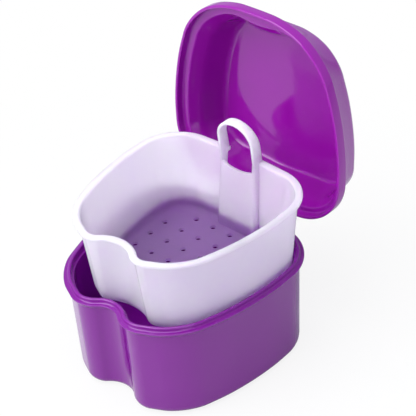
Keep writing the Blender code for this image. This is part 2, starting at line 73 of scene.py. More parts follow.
# Tub
TUB_WALL_HEIGHT = 0.0431
TUB_WALL_INSET = 0.00205
TUB_DRAFT_SHARE = 0.0245
TUB_WALL = 0.0021
TUB_FLOOR = 0.0022
TUB_FOOT_RADIUS = 0.0042
TUB_INNER_RADIUS = 0.0026
FLANGE_HEIGHT = 0.0025
FLANGE_ROUND = 0.00022
FLANGE_RIDGE = 0.0005
FLANGE_RIDGE_ROUND = 0.00022
FLANGE_ROOT = 0.0002
FLANGE_HEM = 0.0002
FLANGE_UNDERCUT = 0.0014
LAND_WIDTH = 0.0018
LAND_COVE = 0.0007
UPSTAND_HEIGHT = 0.0018
UPSTAND_WIDTH = 0.0014
UPSTAND_ROUND = 0.00058
LEDGE_DROP = 0.0010
LEDGE_WIDTH = 0.0011
LEDGE_ROUND = 0.0003
LAND = TUB_WALL_HEIGHT + FLANGE_HEIGHT
TUB_TOP = LAND + UPSTAND_HEIGHT
LEDGE = LAND - LEDGE_DROP
MOUTH_INSET = LAND_WIDTH + UPSTAND_WIDTH
LEDGE_INSET = MOUTH_INSET + LEDGE_WIDTH

# Basket
SEAT_GAP = 0.0003
LIP_ROOM = 0.0005
LIP_THICKNESS = 0.0020
LIP_ROUND = 0.0007
LIP_INNER_ROUND = 0.0011
LIP_ROOT = 0.0005
LIP_OVERHANG = 0.0018
BASKET_DEPTH = 0.0365
BASKET_DRAFT_SHARE = 0.1
BASKET_WALL = 0.0013
BASKET_FLOOR = 0.0013
BASKET_FOOT_RADIUS = 0.0034
BASKET_INNER_RADIUS = 0.0022
BASKET_NOTCH_END_SHARE = 0.78
HOLE_DIAMETER = 0.0026
HOLE_PITCH = 0.0094
HOLE_FIRST_ROW = 0.0278
HOLE_SPANS = (2, 3, 3, 3, 2, 2)
PILASTER_HALF_WIDTH = 0.0095
PILASTER_REACH = 0.0034
PILASTER_CORNER = 0.0018
PILASTER_FLARE = 0.03
PANEL_DROP = 0.0042
PANEL_DIP = 0.0018
HANDLE_HEIGHT = 0.0177
STRAP = 0.0014
STRAP_ROUND = 0.00055
STRAP_ROOT = 0.0055
STRAP_LEAN_FRONT = 0.0017
STRAP_LEAN_REAR = 0.0027
SILL_ROUND_SHARE = 0.99
OVERRUN = 0.004
CUT_CLEARANCE = 0.0002
PILASTER_SEGMENTS = 8
STRAP_SEGMENTS = 4
ARCH_STEPS = 40
SILL_SEGMENTS = 16
HOLE_SEGMENTS = 24
LIP_INSET = MOUTH_INSET + LIP_ROOM
BASKET_TOP = LEDGE + SEAT_GAP + LIP_THICKNESS
BASKET_BOTTOM = BASKET_TOP - BASKET_DEPTH
BASKET_WALL_INSET = LIP_INSET + LIP_OVERHANG
LIP_BASE = BASKET_TOP - LIP_THICKNESS

# Lid
SKIRT_HEIGHT = 0.0049
SKIRT_WALL = 0.0014
SKIRT_ROUND = 0.0005
LID_WALL = 0.0015
LID_HEIGHT = 0.0238
LID_CROWN = 0.0006
ROOF_MARGIN = 0.00003
ROOF_SHARES = (0.9, 0.75, 0.55, 0.35, 0.15)
SHOULDER_RISE = 0.0003
SHOULDER_ROUND = 0.0007
SHELF_SHARE = 0.6
SHELF_CORNER = 0.0008
SHELF_ROUND = 0.0006
DOME_BASE_INSET = 0.0034
DOME_BASE_REAR_INSET = 0.0026
DOME_TOP_INSET = 0.0085
DOME_TOP_REAR_INSET = 0.0044
DOME_ROOT_RADIUS = 0.0010
DOME_TOP_RADIUS = 0.0040
DOME_TOP_REACH = 0.8
DOME_BOW = 0.2
DOME_ROOT_SWELL = 2.3
DOME_ROOT_FADE = 4
DOME_STEPS = 12
DENT_ROOT = 0.3
DENT_SWELL = 2.5
DENT_FADE = 3
REAR = REAR_MIDDLE_SHARE * CASE_DEPTH
LID_RIM = LAND + SEAT_GAP
LID_TOP = LID_RIM + LID_HEIGHT
DOME_BASE = LID_RIM + SKIRT_HEIGHT + SHOULDER_RISE + DOME_ROOT_RADIUS / 2
DOME_TOP = LID_TOP - LID_CROWN - ROOF_MARGIN

# Hinge
HINGE_Y = REAR + 0.0028
HINGE_Z = LAND - 0.0025
OPEN_ANGLE = math.radians(92.0)
BAR_RADIUS = 0.0014
CLIP_WALL = 0.0009
CLIP_BORE = BAR_RADIUS + SEAT_GAP
CLIP_RADIUS = CLIP_BORE + CLIP_WALL
CLIP_START = 0.0062
CLIP_LENGTH = 0.0086
CLIP_MOUTH_START = math.radians(245.0)
CLIP_MOUTH_END = math.radians(325.0)
CLIP_HEEL = math.radians(150.0)
CLIP_BACK = math.radians(48.0)
CLIP_ARM_HEIGHT = 0.0034
CLIP_ARM_LIFT = 0.0004
CLIP_ROOT = 0.0012
LUG_RADIUS = 0.0025
LUG_WIDTH = 0.0030
LUG_DEPTH = 0.0046
LUG_TOP_DROP = 0.0006
LUG_ROOT_SHARE = 0.75
LUG_ROOT = REAR - TUB_WALL_INSET - TUB_WALL * LUG_ROOT_SHARE
LUG_ROUND_SHARE = 0.998
LUG_SOFTENING = 0.00025
SIDE_GAP = 0.0004
LUG_SEGMENTS = 10
BAR_SEGMENTS = 32
CLIP_STEPS = 28

# Where the lifted basket stands
LIFT = Vector((0.0036, 0.0015, 0.0302))

# Rounding of sections, and the turns at which an edge is shaded sharp or softened
SECTION_STEPS = 6
LID_SECTION_STEPS = 5
SHARP_ANGLE = math.radians(40.0)
BASKET_SHARP_ANGLE = math.radians(30.0)
SOFTENED_ANGLE = math.radians(40.0)
SOFTENED_STEPS = 2
ROUND_PROFILE = 0.5

# Colours of the plastics: light and deep of the faint marks, and a painted purple glow near the basket's
# floor that stands in for the purple tub's light and shade showing through the frosted plastic
TUB_COLOURS = ((0.166, 0.003, 0.222, 1.0), (0.156, 0.003, 0.210, 1.0))
LID_COLOURS = ((0.245, 0.004, 0.285, 1.0), (0.231, 0.004, 0.270, 1.0))
BASKET_COLOURS = ((0.93, 0.885, 1.00, 1.0), (0.90, 0.845, 1.00, 1.0))
PAINTED_TUB_GLOW_COLOUR = (0.78, 0.54, 0.97, 1.0)
MARK_STOPS = (0.7, 0.3)

# Glossy plastic: roughness and skin, and its patterns as (scale, detail)
TUB_ROUGHNESS = 0.13
LID_ROUGHNESS = 0.07
ROUGHNESS_SPREAD = 0.03
GLOSSY_IOR = 1.5
FLOW_PATTERN = (38.0, 3.0)
SHEEN_PATTERN = (160.0, 4.0)
SKIN_PATTERN = (420.0, 2.0)
SKIN_STRENGTH = 0.12
SKIN_DEPTH = 0.00005

# Frosted plastic: the same, and how clear it is from the floor up to the top of the strap as
# stops of (share of the height, transmission)
FROSTED_ROUGHNESS = (0.5, 0.6)
FROSTED_IOR = 1.25
CLOUD_PATTERN = (55.0, 4.0)
GRAIN_PATTERN = (1800.0, 2.0)
GRAIN_STRENGTH = 0.15
GRAIN_DEPTH = 0.00004
CLEAR_STOPS = ((0.05, 0.9), (0.12, 0.62), (0.68, 0.62), (0.74, 0.3))
# Painted purple glow of the tub near the basket's floor: the shares of the height over which it fades
# out, then how the basket's height leans
PAINTED_GLOW_START = 0.05
PAINTED_GLOW_END = 0.11
BASKET_HEIGHT_LEAN = 0.05
SCATTER_RADIUS = (0.8, 0.7, 0.8)
SCATTER_SCALE = 0.004

# Floor and world
FLOOR_SIZE = 3.0
FLOOR_CELLS = 4
PAPER_TONES = (0.62, 0.65)
PAPER_ROUGHNESS = 0.9
FIBRE_PATTERN = (60.0, 2.0)
FADE_START = 0.06
FADE_END = 0.22
FADE_LEAST = 0.86
WORLD_COLOUR = (0.85, 0.89, 1.0, 1.0)
WORLD_STRENGTH = 0.72
WHITE = (1.0, 1.0, 1.0, 1.0)

# Softboxes: name, place, width, height and power
SOFTBOXES = (
    ("overhead_softbox", (-0.1, -0.35, 1.05), 0.9, 0.9, 11.3),
    ("front_softbox", (-0.35, -0.95, 0.65), 0.9, 0.8, 9.0),
    ("right_softbox", (1.0, -0.55, 0.35), 0.3, 0.9, 2.0),
)
LIT_POINT = (0.0, 0.0, 0.05)

# Camera of the photograph
CAMERA_AZIMUTH = math.radians(43.73)
CAMERA_ELEVATION = math.radians(36.41)
CAMERA_ROLL = math.radians(-4.24)
CAMERA_DISTANCE = 0.6191
CAMERA_TARGET = Vector((0.002196, 0.01881, 0.06175))
CAMERA_LENS = 131.2
CAMERA_NEAR = 0.01
CAMERA_FAR = 20.0
SENSOR = 36.0


def mixed(start, end, share):
    """A value part of the way from start to end."""
    return start + (end - start) * share


# Materials


def new_material(name):
    """A node material: the material, its tree, its Principled shader and its Object coordinates."""
    material = bpy.data.materials.new(name)
    material.use_nodes = True
    tree = material.node_tree
    place = tree.nodes.new("ShaderNodeTexCoord").outputs["Object"]
    return material, tree, tree.nodes["Principled BSDF"], place


def noise(tree, place, pattern):
    """Noise that lies on the piece, for a pattern of (scale, detail)."""
    scale, detail = pattern
    node = tree.nodes.new("ShaderNodeTexNoise")
    node.inputs["Scale"].default_value = scale
    node.inputs["Detail"].default_value = detail
    tree.links.new(place, node.inputs["Vector"])
    return node.outputs["Fac"]


def ramp(tree, value, stops):
    """Turn a value into a colour by stops of (position, colour)."""
    node = tree.nodes.new("ShaderNodeValToRGB")
    elements = node.color_ramp.elements
    for element, (position, colour) in zip(elements[:], stops):
        element.position = position
        element.color = colour
    for position, colour in stops[2:]:
        elements.new(position).color = colour
    tree.links.new(value, node.inputs["Fac"])
    return node.outputs["Color"]


def ranged(tree, value, low, high, start=0.0, end=1.0):
    """Carry a value that runs from start to end over to a run from low to high."""
    node = tree.nodes.new("ShaderNodeMapRange")
    node.inputs["From Min"].default_value = start
    node.inputs["From Max"].default_value = end
    node.inputs["To Min"].default_value = low
    node.inputs["To Max"].default_value = high
    tree.links.new(value, node.inputs["Value"])
    return node.outputs["Result"]


def raise_skin(tree, shader, value, strength, depth):
    """Raise a fine skin on the surface."""
    node = tree.nodes.new("ShaderNodeBump")
    node.inputs["Strength"].default_value = strength
    node.inputs["Distance"].default_value = depth
    tree.links.new(value, node.inputs["Height"])
    tree.links.new(node.outputs["Normal"], shader.inputs["Normal"])


def marked(tree, value, colours):
    """Faint marks between a light and a deep colour."""
    light, deep = colours
    light_stop, deep_stop = MARK_STOPS
    return ramp(tree, value, ((deep_stop, deep), (light_stop, light)))


def grey(value):
    """A grey as a colour."""
    return (value, value, value, 1.0)


def seen_directly(tree):
    """1 for rays from the camera and through clear plastic, otherwise 0."""
    rays = tree.nodes.new("ShaderNodeLightPath")
    node = tree.nodes.new("ShaderNodeMath")
    node.operation = "MAXIMUM"
    tree.links.new(rays.outputs["Is Camera Ray"], node.inputs[0])
    tree.links.new(rays.outputs["Is Transmission Ray"], node.inputs[1])
    return node.outputs[0]


def glossy_plastic(name, colours, roughness):
    """Moulded glossy plastic: faint flow marks in the colour and a very fine skin."""
    material, tree, shader, place = new_material(name)
    flow = noise(tree, place, FLOW_PATTERN)
    tree.links.new(marked(tree, flow, colours), shader.inputs["Base Color"])
    sheen = noise(tree, place, SHEEN_PATTERN)
    rough = ranged(tree, sheen, roughness - ROUGHNESS_SPREAD, roughness + ROUGHNESS_SPREAD)
    tree.links.new(rough, shader.inputs["Roughness"])
    skin_pattern = noise(tree, place, SKIN_PATTERN)
    raise_skin(tree, shader, skin_pattern, SKIN_STRENGTH, SKIN_DEPTH)
    shader.inputs["IOR"].default_value = GLOSSY_IOR
    return material


def basket_height(tree, place):
    """Height up the lifted basket from 0 to 1, leaning so that it is less at the back wall."""
    node = tree.nodes.new("ShaderNodeVectorMath")
    node.operation = "DOT_PRODUCT"
    node.inputs[1].default_value = (0.0, -BASKET_HEIGHT_LEAN, 1.0)
    tree.links.new(place, node.inputs[0])
    low = BASKET_BOTTOM + LIFT.z
    high = BASKET_TOP + LIFT.z + HANDLE_HEIGHT
    return ranged(tree, node.outputs["Value"], 0.0, 1.0, low, high)


def painted_tub_glow(tree, height, low, high):
    """Painted purple glow of the tub near the floor, standing in for the tub's light and shade seen
    through the plastic, and the given colour above.
    """
    node = tree.nodes.new("ShaderNodeMix")
    node.data_type = "RGBA"
    # By number, because a Mix node has several sockets of one name
    share, first, second = node.inputs[0], node.inputs[6], node.inputs[7]
    first.default_value = low
    tree.links.new(ranged(tree, height, 0.0, 1.0, PAINTED_GLOW_START, PAINTED_GLOW_END), share)
    tree.links.new(high, second)
    return node.outputs[2]


def frosted_plastic(name, colours, low):
    """Frosted plastic: satin skin with a fine grain, light through the wall, clearer near the floor, and
    a painted purple glow of the tub near the floor.
    """
    material, tree, shader, place = new_material(name)
    height = basket_height(tree, place)
    cloud = marked(tree, noise(tree, place, CLOUD_PATTERN), colours)
    # Base colour: the cloudy marks, with a painted purple glow of the tub near the floor
    tree.links.new(painted_tub_glow(tree, height, low, cloud), shader.inputs["Base Color"])
    grain = noise(tree, place, GRAIN_PATTERN)
    tree.links.new(ranged(tree, grain, *FROSTED_ROUGHNESS), shader.inputs["Roughness"])
    raise_skin(tree, shader, grain, GRAIN_STRENGTH, GRAIN_DEPTH)
    clear = ramp(tree, height, [(position, grey(value)) for position, value in CLEAR_STOPS])
    tree.links.new(clear, shader.inputs["Transmission Weight"])
    shader.inputs["IOR"].default_value = FROSTED_IOR
    shader.inputs["Subsurface Weight"].default_value = 1.0
    shader.inputs["Subsurface Radius"].default_value = SCATTER_RADIUS
    shader.inputs["Subsurface Scale"].default_value = SCATTER_SCALE
    return material


def backdrop_paper(name):
    """White paper that keeps a faint shadow near the case and is plain white further off."""
    material, tree, shader, place = new_material(name)
    dark, light = PAPER_TONES
    fibre = noise(tree, place, FIBRE_PATTERN)
    tone = ramp(tree, fibre, ((0.0, grey(dark)), (1.0, grey(light))))
    tree.links.new(tone, shader.inputs["Base Color"])
    shader.inputs["Roughness"].default_value = PAPER_ROUGHNESS
    shader.inputs["Specular IOR Level"].default_value = 0.0
    reach = tree.nodes.new("ShaderNodeVectorMath")
    reach.operation = "LENGTH"
    tree.links.new(place, reach.inputs[0])
    share = tree.nodes.new("ShaderNodeMath")
    share.operation = "MULTIPLY"
    fade = ranged(tree, reach.outputs["Value"], FADE_LEAST, 1.0, FADE_START, FADE_END)
    tree.links.new(fade, share.inputs[0])
    tree.links.new(seen_directly(tree), share.inputs[1])
    white = tree.nodes.new("ShaderNodeEmission")
    mix = tree.nodes.new("ShaderNodeMixShader")
    tree.links.new(share.outputs[0], mix.inputs[0])
    tree.links.new(shader.outputs[0], mix.inputs[1])
    tree.links.new(white.outputs[0], mix.inputs[2])
    tree.links.new(mix.outputs[0], tree.nodes["Material Output"].inputs["Surface"])
    return material


# Rings of the plan


def plan_corners(notch_share):
    """Corners of the plan, clockwise from the middle of the rear: place, run and segments."""
    half_width = CASE_WIDTH / 2
    front = FRONT_SHARE * CASE_DEPTH
    shoulder = mixed(front + TAB_SETBACK, front, notch_share)
    middle = mixed(front + TAB_SETBACK - TAB_CROWN, front + NOTCH_DEPTH, notch_share)
    across = mixed(TAB_HALF_WIDTH, NOTCH_HALF_WIDTH, notch_share)
    places = (
        (REAR_CORNER_SHARES, REAR_CORNER_RUN, REAR_CORNER_SEGMENTS),
        (SIDE_SHARES, SIDE_RUN, SIDE_SEGMENTS),
        (FRONT_CORNER_SHARES, FRONT_CORNER_RUN, FRONT_CORNER_SEGMENTS),
    )
    right = [(Vector((x * half_width, y * CASE_DEPTH)), run, count) for (x, y), run, count in places]
    right.append((Vector((across, shoulder)), NOTCH_SHOULDER_RUN, NOTCH_SHOULDER_SEGMENTS))
    left = [(Vector((-place.x, place.y)), run, count) for place, run, count in reversed(right)]
    rear = (Vector((0.0, REAR)), REAR_MIDDLE_RUN, REAR_MIDDLE_SEGMENTS)
    notch = (Vector((0.0, middle)), NOTCH_RUN, NOTCH_SEGMENTS)
    return [rear, *right, notch, *left]


def drawn_in(corners, inset):
    """The corners with every edge moved inwards and each rounding grown or shrunk to stay parallel."""
    count = len(corners)
    moved = []
    for index, (place, run, segments) in enumerate(corners):
        arriving = (place - corners[index - 1][0]).normalized()
        leaving = (corners[(index + 1) % count][0] - place).normalized()
        first = Vector((arriving.y, -arriving.x))
        second = Vector((leaving.y, -leaving.x))
        mitre = (first + second) / (1.0 + first.dot(second))
        slope = math.tan((math.pi - arriving.angle(leaving, 0.0)) / 2)
        inwards = arriving.x * leaving.y - arriving.y * leaving.x < 0
        radius = max(run * slope - inset, LEAST_RADIUS) if inwards else run * slope + inset
        moved.append([place + mitre * inset, radius / slope, segments])
    lengths = [(moved[(index + 1) % count][0] - moved[index][0]).length for index in range(count)]
    limits = [1.0] * count
    for index, length in enumerate(lengths):
        following = (index + 1) % count
        wanted = moved[index][1] + moved[following][1]
        if wanted > length * RUN_LIMIT:
            limit = length * RUN_LIMIT / wanted
            limits[index] = min(limits[index], limit)
            limits[following] = min(limits[following], limit)
    return [(place, run * limit, segments) for (place, run, segments), limit in zip(moved, limits)]


def rounded(mesh, verts, reach, segments):
    """Round corners of an outline."""
    bmesh.ops.bevel(mesh, geom=verts, offset=reach, offset_type="OFFSET", segments=segments,
                    profile=ROUND_PROFILE, affect="VERTICES", material=-1)


def ring(mesh, inset, height, notch_share=1.0, shift=0.0):
    """A ring of the plan: a wire through its corners, each rounded by a bevel."""
    corners = drawn_in(plan_corners(notch_share), inset)
    verts = [mesh.verts.new((place.x, place.y + shift, height)) for place, run, segments in corners]
    for start, end in zip(verts, verts[1:] + verts[:1]):
        mesh.edges.new((start, end))
    for vert, (place, run, segments) in zip(verts, corners):
        rounded(mesh, [vert], run, segments)


def ring_points(*facts):
    """Points of a ring, in the order in which its bevels make them."""
    scratch = bmesh.new()
    ring(scratch, *facts)
    points = [vert.co.copy() for vert in scratch.verts]
    scratch.free()
    return points


def twin_of(vert, fresh):
    """The vertex that an extrusion made from this one."""
    return next(edge.other_vert(vert) for edge in vert.link_edges if edge.other_vert(vert) in fresh)


def extruded(mesh, verts, edges, points):
    """Extrude a wire ring and draw it to new points."""
    made = bmesh.ops.extrude_edge_only(mesh, edges=edges)["geom"]
    fresh = {item for item in made if isinstance(item, bmesh.types.BMVert)}
    verts = [twin_of(vert, fresh) for vert in verts]
    for vert, point in zip(verts, points):
        vert.co = point
    edges = [item for item in made if isinstance(item, bmesh.types.BMEdge)
             and item.verts[0] in fresh and item.verts[1] in fresh]
    return verts, edges


def close_end(mesh, verts, edges, rise):
    """Close a ring with a face, or with a slight crown of the given rise."""
    if rise:
        rim = [vert.co.copy() for vert in verts]
        middle = sum(rim, Vector()) / len(rim)
        for share in ROOF_SHARES:
            lift = Vector((0.0, 0.0, rise * (1.0 - share ** 2)))
            points = [middle + (point - middle) * share + lift for point in rim]
            verts, edges = extruded(mesh, verts, edges, points)
    bmesh.ops.contextual_create(mesh, geom=edges)


def skin(mesh, rings, rise=0.0):
    """Extrude a wire ring to each following ring in turn, and close both ends."""
    ring(mesh, *rings[0])
    verts = list(mesh.verts)
    edges = list(mesh.edges)
    first = (verts, edges)
    for facts in rings[1:]:
        verts, edges = extruded(mesh, verts, edges, ring_points(*facts))
    close_end(mesh, *first, rise)
    close_end(mesh, verts, edges, rise)


def eased(corners, steps):
    """Round a section's corners. A corner is (reach, inset, height, ...), and every fact is eased."""
    path = []
    for index, (reach, *facts) in enumerate(corners):
        here = Vector(facts)
        if reach == 0.0:
            path.append(tuple(here))
            continue
        before = Vector(corners[index - 1][1:]) - here
        after = Vector(corners[index + 1][1:]) - here
        start = here + before * (reach / before.to_2d().length)
        end = here + after * (reach / after.to_2d().length)
        weight = math.sin(before.to_2d().angle(after.to_2d()) / 2)
        for step in range(steps + 1):
            s = step / steps
            a = (1.0 - s) ** 2
            b = 2.0 * weight * s * (1.0 - s)
            c = s ** 2
            path.append(tuple((start * a + here * b + end * c) / (a + b + c)))
    return path


def mesh_object(name, mesh):
    """An object in the scene with the mesh that was built for it."""
    data = bpy.data.meshes.new(name)
    mesh.to_mesh(data)
    mesh.free()
    return placed(name, data)


def placed(name, data):
    """An object in the scene for a mesh, a lamp or a camera."""
    item = bpy.data.objects.new(name, data)
    bpy.context.scene.collection.objects.link(item)
    return item


def piece(name, mesh, material, body, node):
    """Finish a mesh as a piece that rides on a body and stands for a node of the model."""
    bmesh.ops.recalc_face_normals(mesh, faces=mesh.faces)
    item = mesh_object(name, mesh)
    item.data.shade_smooth()
    item.data.set_sharp_from_angle(angle=SHARP_ANGLE)
    item.data.materials.append(material)
    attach(item, body)
    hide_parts(node)
    return item


def pulled(mesh, faces, move):
    """Extrude faces and move what that makes: its vertices and its faces."""
    made = bmesh.ops.extrude_face_region(mesh, geom=faces)["geom"]
    verts = [item for item in made if isinstance(item, bmesh.types.BMVert)]
    bmesh.ops.translate(mesh, vec=move, verts=verts)
    return verts, [item for item in made if isinstance(item, bmesh.types.BMFace)]


# Tub


def tub_wall_inset(height):
    """Inset of the tub's outer face, which drafts inwards towards the foot."""
    return TUB_WALL_INSET + TUB_DRAFT_SHARE * (TUB_WALL_HEIGHT - height)


def tub_section():
    """The tub's section from the underside over the rim to the inside floor."""
    foot = tub_wall_inset(0.0)
    inner_foot = tub_wall_inset(TUB_FLOOR) + TUB_WALL
    return eased((
        (0.0, foot + 2 * TUB_FOOT_RADIUS, 0.0),
        (TUB_FOOT_RADIUS, foot, 0.0),
        (FLANGE_ROOT, TUB_WALL_INSET, TUB_WALL_HEIGHT),
        (FLANGE_HEM, FLANGE_UNDERCUT, TUB_WALL_HEIGHT),
        (FLANGE_RIDGE_ROUND, 0.0, LAND - FLANGE_RIDGE),
        (FLANGE_ROUND, 0.0, LAND),
        (LAND_COVE, LAND_WIDTH, LAND),
        (UPSTAND_ROUND, LAND_WIDTH, TUB_TOP),
        (UPSTAND_ROUND, MOUTH_INSET, TUB_TOP),
        (0.0, MOUTH_INSET, LEDGE),
        (LEDGE_ROUND, LEDGE_INSET, LEDGE),
        (TUB_INNER_RADIUS, inner_foot, TUB_FLOOR),
        (0.0, inner_foot + 2 * TUB_INNER_RADIUS, TUB_FLOOR),
    ), SECTION_STEPS)


def build_tub(material):
    """The tub as one closed skin."""
    mesh = bmesh.new()
    skin(mesh, tub_section())
    piece("tub_shell", mesh, material, "tub", "base_cup")


def along_hinge(mesh, start, end):
    """Carry a flat side view, drawn at X = 0, from one place on the hinge line to another."""
    bmesh.ops.translate(mesh, vec=(start, 0.0, 0.0), verts=mesh.verts)
    pulled(mesh, mesh.faces[:], (end - start, 0.0, 0.0))
    bmesh.ops.recalc_face_normals(mesh, faces=mesh.faces)


def soften(mesh):
    """Take the sharpness off every edge that turns by much."""
    sharp = [edge for edge in mesh.edges if edge.is_manifold and edge.calc_face_angle() > SOFTENED_ANGLE]
    bmesh.ops.bevel(mesh, geom=sharp, offset=LUG_SOFTENING, offset_type="OFFSET", segments=SOFTENED_STEPS,
                    profile=ROUND_PROFILE, affect="EDGES", clamp_overlap=True, material=-1)


def hinge_lug(start, end):
    """A lug: a round end about the hinge line, run forwards into the flange and the wall."""
    mesh = bmesh.new()
    places = (
        (HINGE_Y + LUG_RADIUS, HINGE_Z + LUG_RADIUS),
        (HINGE_Y + LUG_RADIUS, HINGE_Z - LUG_RADIUS),
        (HINGE_Y - LUG_RADIUS / 2, HINGE_Z - LUG_RADIUS),
        (REAR - TUB_WALL_INSET, HINGE_Z - LUG_DEPTH),
        (LUG_ROOT, HINGE_Z - LUG_DEPTH),
        (LUG_ROOT, LAND - LUG_TOP_DROP),
        (REAR, LAND - LUG_TOP_DROP),
    )
    verts = [mesh.verts.new((0.0, y, z)) for y, z in places]
    mesh.faces.new(verts)
    for vert in verts[:2]:
        rounded(mesh, [vert], LUG_RADIUS * LUG_ROUND_SHARE, LUG_SEGMENTS)
    along_hinge(mesh, start, end)
    soften(mesh)
    return mesh


def hinge_bar(reach):
    """The bar from one outer lug to the other."""
    mesh = bmesh.new()
    bmesh.ops.create_cone(mesh, cap_ends=True, segments=BAR_SEGMENTS, radius1=BAR_RADIUS,
                          radius2=BAR_RADIUS, depth=2 * reach)
    quarter_turn = Matrix.Rotation(math.pi / 2, 3, "Y")
    bmesh.ops.rotate(mesh, cent=(0.0, 0.0, 0.0), matrix=quarter_turn, verts=mesh.verts)
    bmesh.ops.translate(mesh, vec=(0.0, HINGE_Y, HINGE_Z), verts=mesh.verts)
    return mesh


def build_hinge_lugs(material):
    """The three lugs and the bar, moulded behind the tub's rim."""
    lug_start = CLIP_START + CLIP_LENGTH + SIDE_GAP
    spans = (
        (-lug_start - LUG_WIDTH, -lug_start),
        (SIDE_GAP - CLIP_START, CLIP_START - SIDE_GAP),
        (lug_start, lug_start + LUG_WIDTH),
    )
    for name, (start, end) in zip(("left", "middle", "right"), spans):
        piece("hinge_lug_" + name, hinge_lug(start, end), material, "tub", "base_cup")
    piece("hinge_bar", hinge_bar(lug_start + LUG_WIDTH / 2), material, "tub", "base_cup")


# Lid


def dome_facts(reach, share, skin_depth=0.0):
    """Reach and facts of a ring part of the way up the dome's side."""
    lean = share + DOME_BOW * share * (1.0 - share)
    if skin_depth:
        lean += DOME_ROOT_SWELL * share * (1.0 - share) ** DOME_ROOT_FADE
    inset = mixed(DOME_BASE_INSET, DOME_TOP_INSET, lean)
    rear_inset = mixed(DOME_BASE_REAR_INSET, DOME_TOP_REAR_INSET, lean)
    notch_share = DENT_ROOT * (1.0 - share) + DENT_SWELL * share * (1.0 - share) ** DENT_FADE
    height = mixed(DOME_BASE, DOME_TOP, share) - skin_depth * share
    return (reach, inset + skin_depth, height, notch_share, inset - rear_inset)


def dome_side(skin_depth):
    """Corners up the side of the dome and round into its roof, for one skin."""
    steps = [dome_facts(0.0, step / DOME_STEPS, skin_depth) for step in range(1, DOME_STEPS - 2)]
    top = dome_facts((DOME_TOP_RADIUS - skin_depth) * DOME_TOP_REACH, 1.0, skin_depth)
    inset, height, notch_share, shift = top[1:]
    end = (0.0, inset + DOME_TOP_RADIUS, height, notch_share, shift)
    return [*steps, top, end]


def lid_section():
    """Rings from the roof of the dome down its outside, round the rim and up the inside."""
    shoulder = LID_RIM + SKIRT_HEIGHT
    under = shoulder - LID_WALL
    shift = DOME_BASE_INSET - DOME_BASE_REAR_INSET
    shelf_inset = DOME_BASE_INSET + LID_WALL * SHELF_SHARE
    outer = [
        (SHOULDER_ROUND, 0.0, shoulder, 0.0, 0.0),
        (DOME_ROOT_RADIUS / 2, DOME_BASE_INSET, shoulder + SHOULDER_RISE, DENT_ROOT, shift),
    ]
    inner = [
        (SKIRT_ROUND, 0.0, LID_RIM, 0.0, 0.0),
        (SKIRT_ROUND, SKIRT_WALL, LID_RIM, 0.0, 0.0),
        (SHELF_CORNER, SKIRT_WALL, under, 0.0, 0.0),
        (SHELF_ROUND, shelf_inset, under + SHOULDER_RISE, DENT_ROOT, shift),
    ]
    section = [*reversed(dome_side(0.0)), *reversed(outer), *inner, *dome_side(LID_WALL)]
    return eased(section, LID_SECTION_STEPS)


def build_lid(material):
    """The lid in one even wall, turned open about its hinge."""
    mesh = bmesh.new()
    skin(mesh, lid_section(), LID_CROWN)
    open_lid(mesh)
    piece("lid_shell", mesh, material, "lid", "lid")


def open_lid(mesh):
    """Turn what is modelled shut to its place when the lid is thrown back."""
    turn = Matrix.Rotation(-OPEN_ANGLE, 3, "X")
    bmesh.ops.rotate(mesh, cent=(0.0, HINGE_Y, HINGE_Z), matrix=turn, verts=mesh.verts)


def about_hinge(angle, radius):
    """Place in a side view, Y and Z, at an angle and a distance from the hinge line."""
    return (HINGE_Y + radius * math.cos(angle), HINGE_Z + radius * math.sin(angle))


def hinge_clip(start, end):
    """A clip: an open C round the bar."""
    mesh = bmesh.new()
    bore = mesh.verts.new((0.0, *about_hinge(CLIP_MOUTH_END, CLIP_BORE)))
    wall = mesh.verts.new((0.0, *about_hinge(CLIP_MOUTH_END, CLIP_RADIUS)))
    lip = mesh.edges.new((bore, wall))
    sweep = CLIP_MOUTH_START + 2 * math.pi - CLIP_MOUTH_END
    bmesh.ops.spin(mesh, geom=[bore, wall, lip], cent=(0.0, HINGE_Y, HINGE_Z), axis=(1.0, 0.0, 0.0),
                   dvec=(0.0, 0.0, 0.0), angle=sweep, steps=CLIP_STEPS, use_merge=False,
                   use_duplicate=False)
    along_hinge(mesh, start, end)
    return mesh


def clip_arm(start, end):
    """The web from the clip up into the skirt."""
    mesh = bmesh.new()
    foot = LID_RIM + CLIP_ARM_LIFT
    places = (
        about_hinge(CLIP_BACK, CLIP_RADIUS),
        (REAR, foot + CLIP_ARM_HEIGHT),
        (REAR - CLIP_ROOT, foot + CLIP_ARM_HEIGHT),
        (REAR - CLIP_ROOT, foot),
        (REAR, foot),
        about_hinge(CLIP_HEEL, CLIP_RADIUS),
        (HINGE_Y, HINGE_Z + CLIP_BORE + CLIP_WALL / 2),
    )
    mesh.faces.new([mesh.verts.new((0.0, y, z)) for y, z in places])
    along_hinge(mesh, start, end)
    soften(mesh)
    return mesh


def build_clips(material):
    """The two clips that run on the bar."""
    for name, side in (("left", -1.0), ("right", 1.0)):
        start, end = sorted((side * CLIP_START, side * (CLIP_START + CLIP_LENGTH)))
        for part, mesh in (("clip", hinge_clip(start, end)), ("clip_arm", clip_arm(start, end))):
            open_lid(mesh)
            piece(f"{part}_{name}", mesh, material, "lid", "lid")


# Strainer basket


def basket_wall_inset(height):
    """Inset of the basket's outer face, which drafts inwards towards the foot."""
    return BASKET_WALL_INSET + BASKET_DRAFT_SHARE * (LIP_BASE - height)


def basket_corner(reach, inset, height):
    """A corner of the basket's section; its notch grows shallower towards the floor."""
    depth_share = (BASKET_TOP - height) / BASKET_DEPTH
    return (reach, inset, height, mixed(1.0, BASKET_NOTCH_END_SHARE, depth_share))


